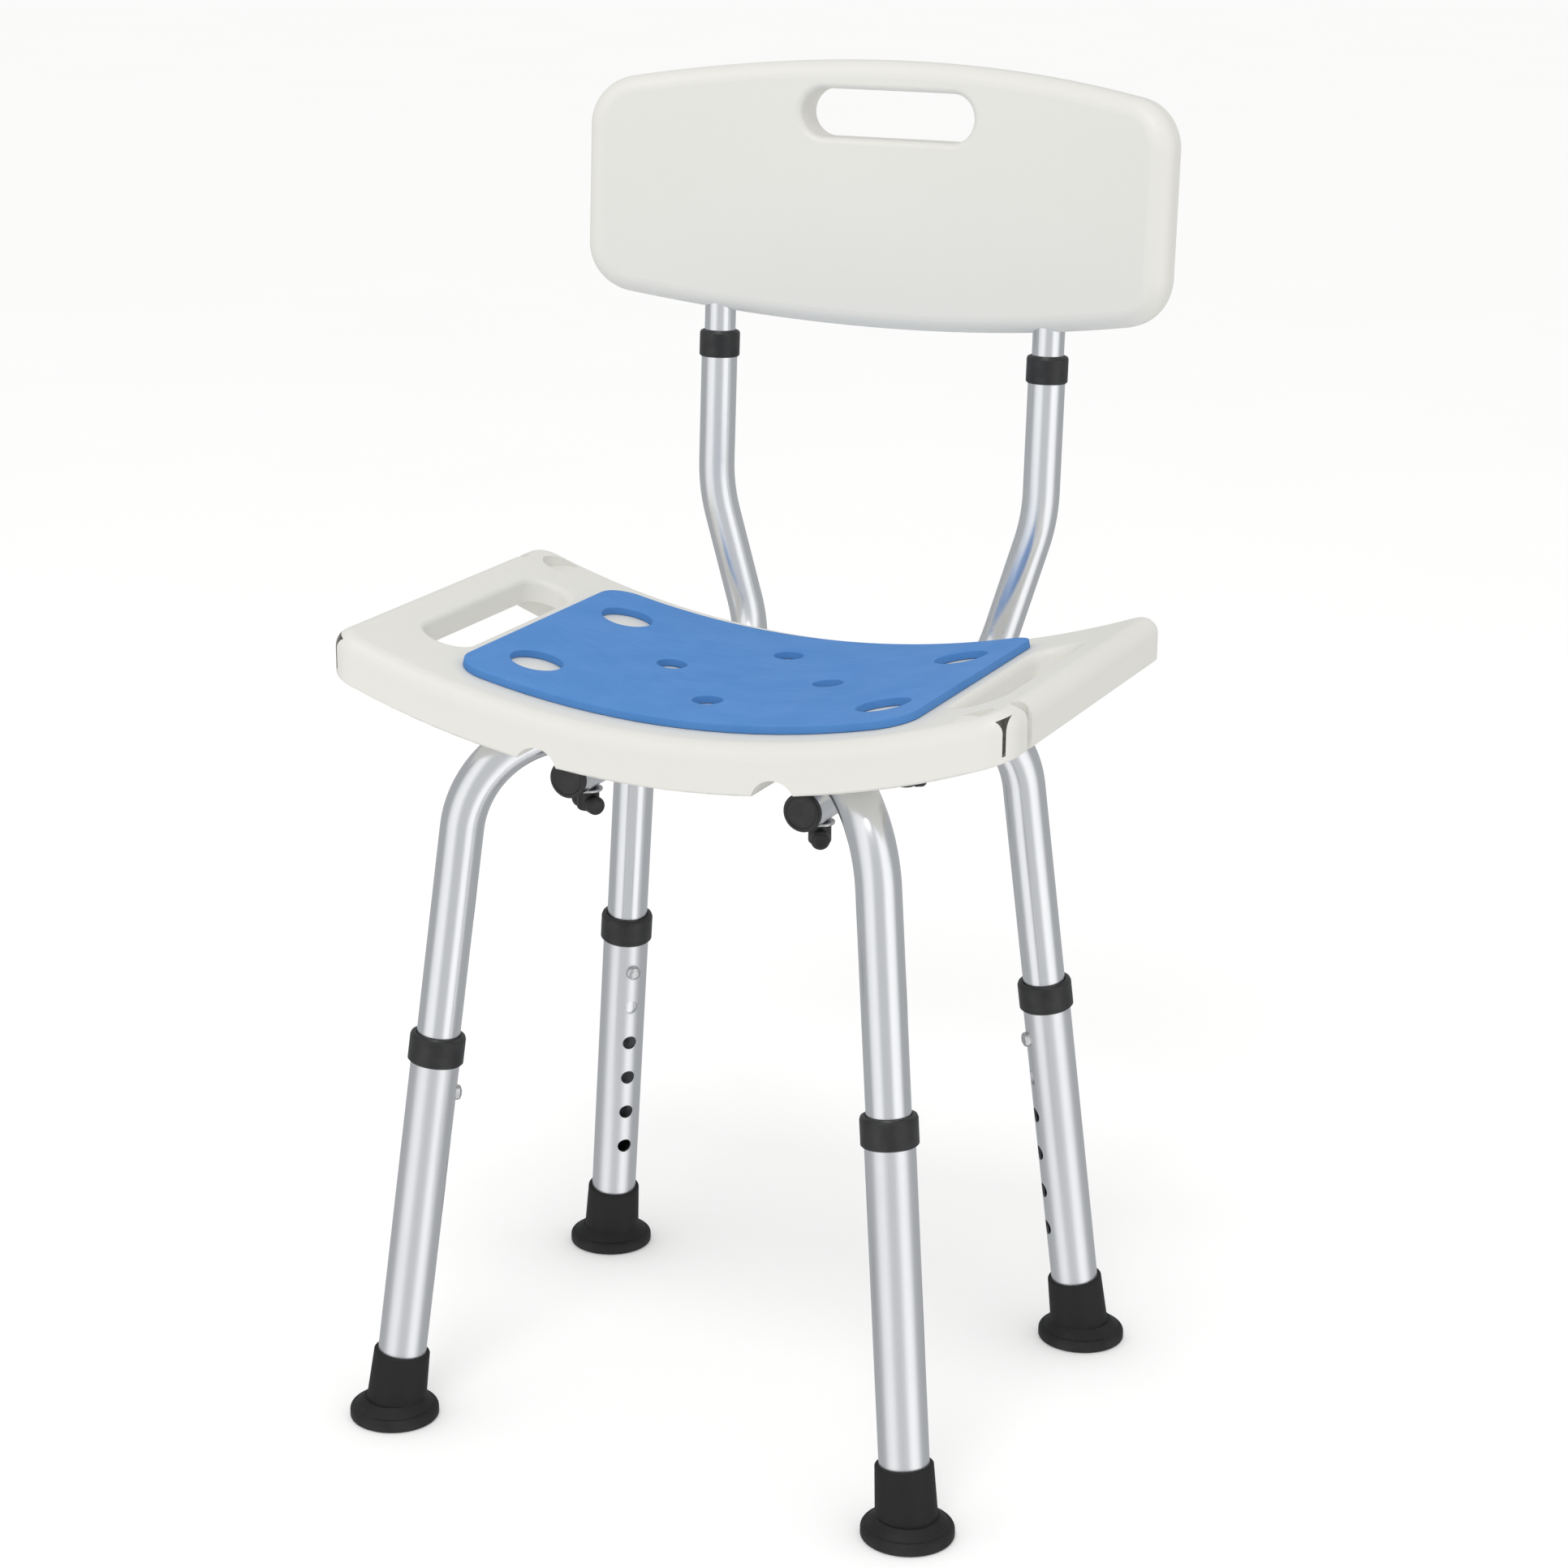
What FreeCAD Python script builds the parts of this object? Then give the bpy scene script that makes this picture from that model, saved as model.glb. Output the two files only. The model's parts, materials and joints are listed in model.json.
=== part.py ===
import FreeCAD, Part

# Shower chair with a padded seat on four height-adjustable legs and a lift-off backrest.
# Origin: on the floor under the middle of the chair's overall box. +X to the sitter's left, -Y is the
# front, +Z up. The chair is built round the seat's middle, and moved to this origin at the end.
# Millimetres and degrees.

import math
import os

import Sketcher
from FreeCAD import Placement, Rotation, Vector

X_AXIS, Y_AXIS, Z_AXIS = Vector(1, 0, 0), Vector(0, 1, 0), Vector(0, 0, 1)

SIZES = {
    "seat_width": (416, "overall width of the seat"),
    "seat_depth": (250, "overall depth of the seat"),
    "seat_middle": (437, "height of the seat's top surface at its lowest line"),
    "seat_curve": (545, "radius of the seat's saddle curve"),
    "seat_skirt": (28.5, "height of the seat's skirt"),
    "seat_wall": (4, "wall of the seat's top and skirt"),
    "seat_corner": (16, "plan radius of the seat's corners"),
    "seat_edge": (9, "rolled top edge of the seat"),
    "slot_centre": (166, "seat handle slot, distance from the middle"),
    "slot_width": (29, "seat handle slot, clear width"),
    "slot_length": (143, "seat handle slot, clear length"),
    "slot_edge": (4, "rolled rim of the handle slots"),
    "slot_depth": (13, "thickness of the seat round the handle slots"),
    "grip_room": (9, "room for fingers under the seat, round the handle slots"),
    "rib_wall": (3, "ribs under the seat"),
    "recess_radius": (11, "round corner recess in the seat"),
    "recess_depth": (3, "depth of the round recess"),
    "recess_out": (180, "recess centre from the middle, across"),
    "recess_back": (106, "recess centre from the middle, front to back"),
    "notch_width": (10, "hose notch in the seat's side, where it holds the hose"),
    "notch_mouth": (7, "opening of the hose notch"),
    "notch_groove": (6, "middle of the hose notch in from the seat's side"),
    "notch_back": (95, "hose notch from the middle, front to back"),
    "skirt_arch": (13.5, "radius of the arches in the skirt over the backrest tubes"),
    "pad_width": (280, "overall width of the pad"),
    "pad_depth": (200, "overall depth of the pad"),
    "pad_thick": (4.5, "pad thickness"),
    "pad_corner": (18, "plan radius of the pad's corners"),
    "pad_gap": (0.3, "gap between pad and seat"),
    "pad_hole": (15.5, "radius of the four large pad holes"),
    "pad_hole_out": (109, "large pad holes from the middle, across"),
    "pad_hole_back": (57, "large pad holes from the middle, front to back"),
    "pad_dot": (9, "radius of the four small pad holes"),
    "pad_dot_out": (50, "small pad holes from the middle, across"),
    "pad_dot_back": (55, "small pad holes from the middle, front to back"),
    "foot_span": (332, "leg centres on the floor, across"),
    "foot_reach": (281, "leg centres on the floor, front to back"),
    "leg_lean": (7.5, "lean of the legs from vertical, degrees"),
    "frame_level": (418, "height of the leg frame's level tubes"),
    "knee_bend": (62, "bend radius at the knees"),
    "waist_bend": (60, "bend radius of the leg frame under the seat"),
    "upper_tube": (25.4, "outer diameter of the leg frame tube"),
    "upper_wall": (1.5, "wall of the leg frame tube"),
    "lower_tube": (28.6, "outer diameter of the lower leg tube"),
    "lower_wall": (1.5, "wall of the lower leg tube"),
    "lower_start": (8, "lower tube's end above the floor, along the leg"),
    "collar_top": (242.5, "top of the leg collar, along the leg"),
    "collar_height": (17.5, "height of a leg collar"),
    "collar_radius": (16.3, "outer radius of a leg collar"),
    "collar_lip": (2.5, "lip of a leg collar over the tube's end"),
    "leg_overlap": (74, "leg frame tube inside the lower tube at full height"),
    "hole_pitch": (25.4, "spacing of the height holes"),
    "hole_top": (206, "highest height hole, along the leg"),
    "hole_count": (6, "height holes in each leg"),
    "button_radius": (4.5, "radius of a leg button"),
    "button_gap": (0.1, "radial gap round a button and between sliding tubes"),
    "button_proud": (3.4, "button standing out of the outer tube"),
    "foot_radius": (26.5, "radius of a rubber foot's flange"),
    "foot_flange": (7.5, "height of the foot's flange"),
    "sleeve_height": (42, "top of the foot's sleeve, along the leg"),
    "sleeve_radius": (16.6, "outer radius of the foot's sleeve at its top"),
    "sleeve_flare": (1.4, "growth of the sleeve's radius to its base"),
    "back_tube": (22.2, "outer diameter of the backrest tube"),
    "back_wall": (1.4, "wall of the backrest tube"),
    "back_track": (73, "backrest tubes under the seat, distance from the middle"),
    "back_front": (84, "front end of the backrest tubes, ahead of the middle"),
    "back_rear": (177, "rear bend of the backrest tubes, behind the middle"),
    "back_bend": (50, "bend radius under the rear of the seat"),
    "elbow_bend": (110, "radius of the upper elbow"),
    "elbow_height": (510, "height of the upper elbow"),
    "post_track": (108.3, "upright posts, distance from the middle"),
    "post_back": (180.5, "upright posts at the elbow, behind the middle"),
    "back_lean": (3, "backward lean of the backrest, degrees"),
    "post_top": (96.5, "upper end of the backrest tube above the elbow, along the post"),
    "post_overlap": (70, "post inside the backrest tube"),
    "post_in_board": (82, "post inside the backrest board"),
    "post_wall": (1.2, "wall of the inner post"),
    "back_collar": (16.5, "height of a backrest collar"),
    "tube_gap": (0.3, "gap between crossing tubes"),
    "board_width": (376, "overall width of the backrest board"),
    "board_thick": (27, "thickness of the backrest board"),
    "board_curve": (545, "plan radius of the backrest board"),
    "board_bottom": (106, "board's lower edge above the elbow, at its middle"),
    "board_height": (160, "height of the board at its middle"),
    "board_crown": (19, "rise of the board's edges from ends to middle"),
    "board_middle": (12, "board's middle surface behind the posts' plane"),
    "board_corner": (30, "corner radius of the board"),
    "board_edge": (10, "rolled edge of the board"),
    "grip_length": (112, "handle slot in the board, clear length"),
    "grip_height": (29, "handle slot in the board, clear height"),
    "grip_below": (32, "handle slot's middle below the board's top edge"),
    "grip_edge": (4, "rolled rim of the board's handle slot"),
    "stud_radius": (3, "radius of a clamping stud"),
    "knob_radius": (6.5, "radius of a clamping knob's hub"),
    "knob_height": (11.5, "height of a clamping knob's hub"),
    "wing_radius": (5.4, "radius of a knob's wing"),
    "wing_reach": (8, "wing centre from the stud"),
    "wing_thick": (9, "length of a wing along its reach"),
    "washer_radius": (8.5, "radius of a clamping washer"),
    "washer_thick": (1.5, "thickness of a clamping washer"),
    "insert_radius": (4.5, "radius of a threaded insert"),
    "screw_radius": (2.5, "radius of the tapping screws"),
    "screw_head": (4.5, "radius of the tapping screws' heads"),
    "spring_strip": (0.8, "thickness of the leaf springs"),
    "spring_width": (7, "width of the leaf springs"),
}

doc = FreeCAD.newDocument("shower_chair")
sheet = doc.addObject("Spreadsheet::Sheet", "Sizes")
for row, (alias, (amount, meaning)) in enumerate(SIZES.items(), start=1):
    sheet.set("A%d" % row, meaning)
    sheet.set("B%d" % row, str(amount))
    sheet.setAlias("B%d" % row, alias)
doc.recompute()


class Size:
    """A length worked out from the sheet, kept both as a number and as an expression."""

    def __init__(self, number, text):
        self.number = number
        self.text = text

    def joined(self, other, sign, number):
        text = other.text if isinstance(other, Size) else repr(other)
        return Size(number, "(%s %s %s)" % (self.text, sign, text))

    def __add__(self, other):
        return self.joined(other, "+", self.number + amount_of(other))

    def __sub__(self, other):
        return self.joined(other, "-", self.number - amount_of(other))

    def __mul__(self, other):
        return self.joined(other, "*", self.number * amount_of(other))

    def __truediv__(self, other):
        return self.joined(other, "/", self.number / amount_of(other))

    def __neg__(self):
        return Size(-self.number, "(0 - %s)" % self.text)


def amount_of(value):
    return value.number if isinstance(value, Size) else value


def size(alias):
    return Size(float(sheet.get(alias)), "Sizes." + alias)


def num(alias):
    return float(sheet.get(alias))


# ---- building blocks -------------------------------------------------------------------------

def bound(thing, **sizes):
    for prop, value in sizes.items():
        setattr(thing, prop, amount_of(value))
        if isinstance(value, Size):
            thing.setExpression(prop, value.text)
    return thing


def cylinder(label, radius, height, place=Placement()):
    thing = bound(doc.addObject("Part::Cylinder", label), Radius=radius, Height=height)
    thing.Placement = place
    return thing


def cone(label, base_radius, top_radius, height, place=Placement()):
    thing = doc.addObject("Part::Cone", label)
    bound(thing, Radius1=base_radius, Radius2=top_radius, Height=height)
    thing.Placement = place
    return thing


def box(label, length, width, height, place=Placement()):
    thing = bound(doc.addObject("Part::Box", label), Length=length, Width=width, Height=height)
    thing.Placement = place
    return thing


def middle_box(label, length, width, height, centre):
    corner = Vector(-amount_of(length) / 2, -amount_of(width) / 2, -amount_of(height) / 2)
    return box(label, length, width, height, Placement(centre + corner, Rotation()))


def cut(label, base, tool):
    thing = doc.addObject("Part::Cut", label)
    thing.Base, thing.Tool = base, tool
    return thing


def common(label, first, second):
    thing = doc.addObject("Part::MultiCommon", label)
    thing.Shapes = [first, second]
    return thing


def fuse(label, pieces):
    thing = doc.addObject("Part::MultiFuse", label)
    thing.Shapes = pieces
    return thing


def group(label, pieces):
    thing = doc.addObject("Part::Compound", label)
    thing.Links = pieces
    return thing


def rounded(label, base, rounds):
    """Fillets on the edges that each (test, radius) pair picks."""
    doc.recompute()
    thing = doc.addObject("Part::Fillet", label)
    thing.Base = base
    edges = []
    for number, edge in enumerate(base.Shape.Edges, start=1):
        for test, radius in rounds:
            if test(edge):
                edges.append((number, radius, radius))
                break
    thing.Edges = edges
    return thing


def own_shape(label, shape, place=Placement()):
    thing = doc.addObject("Part::Feature", label)
    thing.Shape = shape
    thing.Placement = place
    return thing


def turned(label, outline, place):
    """A body turned about its own Z from (radius, height) corners."""
    body = doc.addObject("PartDesign::Body", label)
    sketch = body.newObject("Sketcher::SketchObject", label + "_outline")
    plane = [item for item in body.Origin.OriginFeatures if item.Role == "XZ_Plane"][0]
    sketch.AttachmentSupport = [(plane, "")]
    sketch.MapMode = "FlatFace"
    spots = [Vector(amount_of(radius), amount_of(height), 0) for radius, height in outline]
    for index, spot in enumerate(spots):
        sketch.addGeometry(Part.LineSegment(spot, spots[(index + 1) % len(spots)]), False)
    for index, (radius, height) in enumerate(outline):
        sketch.addConstraint(joint(index, (index + 1) % len(spots)))
        for kind, value in (("DistanceX", radius), ("DistanceY", height)):
            if amount_of(value) == 0:
                flat = "PointOnObject"
                axis = -2 if kind == "DistanceX" else -1
                sketch.addConstraint(Sketcher.Constraint(flat, index, 1, axis))
                continue
            at = sketch.addConstraint(Sketcher.Constraint(kind, -1, 1, index, 1, amount_of(value)))
            if isinstance(value, Size):
                sketch.setExpression("Constraints[%d]" % at, value.text)
    turn = body.newObject("PartDesign::Revolution", label + "_turn")
    turn.Profile = sketch
    turn.ReferenceAxis = (sketch, ["V_Axis"])
    turn.Angle = 360
    body.Tip = turn
    body.Placement = place
    return body


def joint(first, second):
    return Sketcher.Constraint("Coincident", first, 2, second, 1)


def bent_wire(corners, radii):
    """Straight runs through the corners, joined by tangent arcs of the given radii."""
    edges = []
    start = corners[0]
    for before, corner, after, radius in zip(corners, corners[1:], corners[2:], radii):
        back, ahead = (before - corner).normalize(), (after - corner).normalize()
        half_turn = (math.pi - back.getAngle(ahead)) / 2
        reach = radius * math.tan(half_turn)
        bisector = (back + ahead).normalize()
        middle = corner + bisector * (radius / math.cos(half_turn) - radius)
        first, last = corner + back * reach, corner + ahead * reach
        edges.append(Part.LineSegment(start, first).toShape())
        edges.append(Part.Arc(first, middle, last).toShape())
        start = last
    edges.append(Part.LineSegment(start, corners[-1]).toShape())
    return Part.Wire(edges)


def swept(label, path, radius):
    """A round bar of the given radius along a path object."""
    start = path.Shape.OrderedEdges[0]
    way = start.tangentAt(start.FirstParameter)
    ring = doc.addObject("Part::Circle", label + "_ring")
    bound(ring, Radius=radius)
    ring.Placement = Placement(start.valueAt(start.FirstParameter), Rotation(Z_AXIS, way))
    sweep = doc.addObject("Part::Sweep", label)
    sweep.Sections = [ring]
    sweep.Spine = (path, ["Edge%d" % (i + 1) for i in range(len(path.Shape.Edges))])
    sweep.Solid = True
    sweep.Frenet = False
    return sweep


# ---- places worked out from the sheet --------------------------------------------------------

FOOT_X, FOOT_Y = num("foot_span") / 2, num("foot_reach") / 2
LEAN = math.radians(num("leg_lean"))
SPREAD = math.atan2(FOOT_Y, FOOT_X)
CORNERS = {"front_right": (-1, -1), "front_left": (1, -1), "rear_left": (1, 1), "rear_right": (-1, 1)}
SIDES = {"left": 1, "right": -1}
UPPER_R, LOWER_R = num("upper_tube") / 2, num("lower_tube") / 2
BACK_R = num("back_tube") / 2
LEVEL = num("frame_level")
BACK_LEVEL = LEVEL - UPPER_R - BACK_R - num("tube_gap")
TRACK = num("back_track")
CROSS_Y = TRACK * FOOT_Y / FOOT_X
CLAMPS = {name: Vector(sx * TRACK, sy * CROSS_Y, 0) for name, (sx, sy) in CORNERS.items()}
SEAT_R = num("seat_curve")
SEAT_TOP = num("seat_middle")
DEEP = 900


def seat_height(across):
    return SEAT_TOP + SEAT_R - math.sqrt(SEAT_R ** 2 - across ** 2)


def leg_place(corner):
    """Frame on the leg's axis at floor level: Z up along the leg, X towards the chair's middle."""
    sx, sy = CORNERS[corner]
    inward = math.degrees(math.atan2(-sy * FOOT_Y, -sx * FOOT_X))
    turn = Rotation(Z_AXIS, inward) * Rotation(Y_AXIS, num("leg_lean"))
    return Placement(Vector(sx * FOOT_X, sy * FOOT_Y, 0), turn)


def along(place, height, out=0.0, side=0.0):
    return place.multVec(Vector(out, side, height))


def post_place(side):
    """Frame at the elbow: Z up along the leaning post, Y to the back."""
    return Placement(Vector(side * num("post_track"), num("post_back"), num("elbow_height")), POST_TURN)


POST_TURN = Rotation(X_AXIS, -num("back_lean"))
BOARD_PLACE = Placement(Vector(0, num("post_back"), num("elbow_height")), POST_TURN)
DOWN = Rotation(X_AXIS, 180)
TO_LOCAL_X = Rotation(Y_AXIS, 90)


def vertical(centre, height):
    return Placement(Vector(centre.x, centre.y, height), Rotation())


# ---- seat ------------------------------------------------------------------------------------

def curved_slab(label, width, depth, top_offset, thickness, lowered=0.0):
    """A slab whose top and bottom follow the seat's curve, the bottom also moved straight down."""
    hub = Vector(0, amount_of(depth) / 2, SEAT_TOP + SEAT_R)
    turn = Rotation(X_AXIS, 90)
    low_place = Placement(hub - Vector(0, 0, lowered), turn)
    outer = cylinder(label + "_under", size("seat_curve") - top_offset + thickness, depth, low_place)
    inner = cylinder(label + "_over", size("seat_curve") - top_offset, depth, Placement(hub, turn))
    shell = cut(label + "_shell", outer, inner)
    centre = Vector(0, 0, SEAT_TOP + num("seat_skirt"))
    block = middle_box(label + "_block", width, depth, size("seat_curve") / 2, centre)
    return common(label, shell, block)


def stadium(label, length, width, height, centre):
    """An upright prism with round ends, its length along Y."""
    half = (amount_of(length) - amount_of(width)) / 2
    ends = [cylinder(label + "_end%d" % way, width / 2, height,
                     Placement(centre + Vector(0, way * half, 0), Rotation())) for way in (-1, 1)]
    middle = box(label + "_middle", width, length - width, height,
                 Placement(centre - Vector(amount_of(width) / 2, half, 0), Rotation()))
    return fuse(label, ends + [middle])


def upright(edge):
    ends = [vertex.Point for vertex in edge.Vertexes]
    return len(ends) == 2 and abs((ends[1] - ends[0]).normalize().z) > 0.99


def on_seat_surface(lowered, edge):
    """True when an edge lies on the seat's curve moved down."""
    hub = SEAT_TOP + SEAT_R - lowered
    for part in (0.0, 0.5, 1.0):
        spot = edge.valueAt(edge.FirstParameter + part * (edge.LastParameter - edge.FirstParameter))
        if abs(math.hypot(spot.x, spot.z - hub) - SEAT_R) > 0.05:
            return False
    return True


def seat_outer():
    slab = curved_slab("seat_slab", size("seat_width"), size("seat_depth"), 0, 0, num("seat_skirt"))
    plan = rounded("seat_plan", slab, [(upright, num("seat_corner"))])
    holes = [stadium("slot%d" % way, size("slot_length"), size("slot_width"), DEEP,
                     Vector(way * num("slot_centre"), 0, 0)) for way in (-1, 1)]
    slotted = cut("seat_slotted", plan, fuse("seat_slots", holes))
    top_edges = lambda edge: on_seat_surface(0, edge) and outside(edge)
    slot_edges = lambda edge: on_seat_surface(0, edge) and not outside(edge)
    under_edges = lambda edge: on_seat_surface(num("seat_skirt"), edge) and outside(edge)
    return rounded("seat_rolled", slotted, [(top_edges, num("seat_edge")),
                                            (slot_edges, num("slot_edge")),
                                            (under_edges, num("seat_wall") / 3)])


def outside(edge):
    """True for edges of the seat's outline, false for the slots' rims."""
    spot = edge.valueAt((edge.FirstParameter + edge.LastParameter) / 2)
    reach = num("slot_centre") + num("slot_width") / 2 + 1
    return abs(spot.x) > reach or abs(spot.y) > num("slot_length") / 2 + 1


def finger_room(label, way, growth):
    """A tall block round a handle slot and out to the seat's end, on the side that way says."""
    inner = size("slot_centre") - size("slot_width") / 2 - size("grip_room") - growth
    width = size("seat_width") / 2 - size("seat_wall") - inner + growth
    depth = size("slot_length") + size("grip_room") * 2 + growth * 2
    centre = Vector(way * (inner.number + width.number / 2), 0, SEAT_TOP)
    return middle_box(label, width, depth, DEEP, centre)


def slot_pocket(way):
    """The open space under the thin rim of a handle slot."""
    under = curved_slab("pocket_slab%d" % way, size("seat_width"), size("seat_depth"), -size("slot_depth"),
                        size("seat_skirt") * 2)
    return common("slot_pocket%d" % way, under, finger_room("finger_room%d" % way, way, 0.0))


def seat_hollow(paths):
    """The sealed air spaces of the moulded seat, without slot walls, tube channels, ribs and bosses."""
    wall = size("seat_wall")
    space = curved_slab("hollow_slab", size("seat_width") - wall * 2, size("seat_depth") - wall * 2,
                        -wall, 0, num("seat_skirt") - 2 * num("seat_wall"))
    keep = [finger_room("room_wall%d" % way, way, wall) for way in (-1, 1)]
    rib = size("rib_wall")
    rib_x = [0, TRACK, -TRACK]
    rib_y = [0, CROSS_Y, -CROSS_Y]
    keep += [middle_box("long_rib%d" % i, rib, size("seat_depth"), DEEP, Vector(x, 0, DEEP / 2))
             for i, x in enumerate(rib_x)]
    inner_width = (size("slot_centre") - size("slot_width") / 2) * 2 - wall
    keep += [middle_box("cross_rib%d" % i, inner_width, rib, DEEP, Vector(0, y, DEEP / 2))
             for i, y in enumerate(rib_y)]
    keep += [cylinder("boss_" + name, size("insert_radius") * 2, DEEP, vertical(spot, 0))
             for name, spot in CLAMPS.items()]
    keep += [cylinder("screw_boss%d" % i, size("screw_radius") * 3, DEEP, vertical(spot, 0))
             for i, spot in enumerate(WAIST_SPOTS)]
    keep += [cylinder("recess_boss%d" % way, size("recess_radius") + wall * 1.5, DEEP,
                      vertical(Vector(way * num("recess_out"), -way * num("recess_back"), 0), 0))
             for way in (-1, 1)]
    keep += [swept("channel_wall%d" % side, path, size("upper_tube") / 2 + size("tube_gap") + wall)
             for side, path in paths.items()]
    keep += [middle_box("arch_wall%d" % way, (size("skirt_arch") + wall) * 2, size("seat_depth"),
                        (size("skirt_arch") + wall) * 2, Vector(way * TRACK, 0, seat_height(TRACK)
                                                               - num("seat_skirt") - num("skirt_arch") / 3))
             for way in (-1, 1)]
    keep += [middle_box("notch_wall%d" % way, (size("notch_groove") + size("notch_width") / 2 + wall) * 2,
                        size("notch_width") + wall * 2, DEEP, notch_spot(way)) for way in (-1, 1)]
    return cut("seat_hollow", space, fuse("seat_keep", keep))


def notch_spot(way):
    return Vector(way * num("seat_width") / 2, -way * num("notch_back"), SEAT_TOP)


def waist_apex():
    half_turn = math.pi / 2 - SPREAD
    return num("waist_bend") * (1 / math.cos(half_turn) - 1)


WAIST_SPOTS = [Vector(side * waist_apex(), 0, 0) for side in SIDES.values()]


def seat(paths):
    tools = [seat_hollow(paths)]
    tools += [frame_channel(side, path) for side, path in paths.items()]
    tools += [slot_pocket(way) for way in (-1, 1)]
    for way in (-1, 1):
        spot = Vector(way * num("recess_out"), -way * num("recess_back"), 0)
        floor = seat_height(abs(spot.x)) - num("recess_depth")
        tools.append(cylinder("recess%d" % way, size("recess_radius"), 60, vertical(spot, floor)))
        groove = vertical(notch_spot(way) - Vector(way * num("notch_groove"), 0, 0), 0)
        tools.append(cylinder("hose_groove%d" % way, size("notch_width") / 2, DEEP, groove))
        tools.append(middle_box("hose_notch%d" % way, size("notch_groove") * 2, size("notch_mouth"),
                                size("seat_skirt") * 6, notch_spot(way)))
    skirt_foot = seat_height(TRACK) - num("seat_skirt")
    for way in (-1, 1):
        spot = Vector(way * TRACK, DEEP / 2, skirt_foot - num("skirt_arch") / 3)
        tools.append(cylinder("skirt_arch%d" % way, size("skirt_arch"), DEEP,
                              Placement(spot, Rotation(X_AXIS, 90))))
    insert_top = seat_height(TRACK) - 2
    for name, spot in CLAMPS.items():
        tools.append(cylinder("insert_bore_" + name, size("insert_radius"), 30,
                              vertical(spot, insert_top - 30)))
    for index, spot in enumerate(WAIST_SPOTS):
        tools.append(cylinder("screw_bore%d" % index, size("screw_radius"), 30,
                              vertical(spot, SEAT_TOP - 2 - 30)))
    return cut("seat", seat_outer(), fuse("seat_tools", tools))


def pad():
    slab = curved_slab("pad_slab", size("pad_width"), size("pad_depth"),
                       size("pad_gap") + size("pad_thick"), size("pad_thick"))
    plan = rounded("pad_plan", slab, [(upright, num("pad_corner"))])
    holes = []
    for way_x, way_y in CORNERS.values():
        spot = Vector(way_x * num("pad_hole_out"), way_y * num("pad_hole_back"), 0)
        holes.append(cylinder("pad_hole%d%d" % (way_x, way_y), size("pad_hole"), DEEP, vertical(spot, 0)))
    dots = [(1, 0), (-1, 0), (0, 1), (0, -1)]
    for way_x, way_y in dots:
        spot = Vector(way_x * num("pad_dot_out"), way_y * num("pad_dot_back"), 0)
        holes.append(cylinder("pad_dot%d%d" % (way_x, way_y), size("pad_dot"), DEEP, vertical(spot, 0)))
    return cut("pad", plan, fuse("pad_holes", holes))


# ---- leg frames ------------------------------------------------------------------------------

def frame_path(side, lowered=0.0):
    """Down one leg, through both knees and the waist, down the other leg."""
    names = {1: ("front_left", "rear_left"), -1: ("front_right", "rear_right")}[side]
    end_height = num("collar_top") - num("leg_overlap")
    front, rear = leg_place(names[0]), leg_place(names[1])
    knee_height = LEVEL / math.cos(LEAN)
    corners = [along(front, end_height), along(front, knee_height), Vector(0, 0, LEVEL),
               along(rear, knee_height), along(rear, end_height)]
    wire = bent_wire(corners, [num("knee_bend"), num("waist_bend"), num("knee_bend")])
    wire.translate(Vector(0, 0, -lowered))
    return own_shape("frame_path%d_%d" % (side, lowered), wire)


def leg_frame(name, side, path):
    bar = swept("bar_" + name, path, size("upper_tube") / 2)
    bore = swept("bore_" + name, path, size("upper_tube") / 2 - size("upper_wall"))
    holes = []
    for corner, (sx, sy) in CORNERS.items():
        if sx != side:
            continue
        place = leg_place(corner)
        holes.append(button_hole("frame_hole_" + corner, place))
        holes.append(cylinder("stud_hole_" + corner, size("stud_radius") + size("tube_gap"), 200,
                              vertical(CLAMPS[corner], LEVEL - 100)))
    holes.append(cylinder("screw_hole_" + name, size("screw_radius") + size("tube_gap"), 200,
                          vertical(WAIST_SPOTS[0 if side > 0 else 1], LEVEL - 100)))
    tube = cut("tube_" + name, bar, bore)
    return cut("leg_frame_" + name, tube, fuse("holes_" + name, holes))


def button_hole(label, place, steps=0):
    """A hole on the leg's inner side, steps holes below the highest one."""
    start = along(place, num("hole_top") - steps * num("hole_pitch"), 5)
    radius = size("button_radius") + size("button_gap")
    return cylinder(label, radius, 20, Placement(start, place.Rotation * TO_LOCAL_X))


# The mouth of a tube's channel sits this much lower, which leaves a small ridge for the tube to pass.
SNAP_IN = 9


def frame_channel(side, path):
    """The space a leg frame takes up under the seat, open below so that the tube snaps in."""
    radius = size("upper_tube") / 2 + size("tube_gap")
    mouth = swept("channel_mouth%d" % side, frame_path(side, SNAP_IN), radius)
    return fuse("channel_room%d" % side, [swept("channel%d" % side, path, radius), mouth])


# ---- lower legs ------------------------------------------------------------------------------

def leg_tube(corner):
    place = leg_place(corner)
    foot = Placement(along(place, num("lower_start")), place.Rotation)
    length = size("collar_top") - size("collar_lip") - size("lower_start")
    outer = cylinder("leg_outer_" + corner, size("lower_tube") / 2, length, foot)
    bore = cylinder("leg_bore_" + corner, size("lower_tube") / 2 - size("lower_wall"), length, foot)
    holes = [button_hole("leg_hole%d_%s" % (i, corner), place, i) for i in range(int(num("hole_count")))]
    return cut("leg_tube_" + corner, outer, fuse("leg_openings_" + corner, [bore] + holes))


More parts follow.
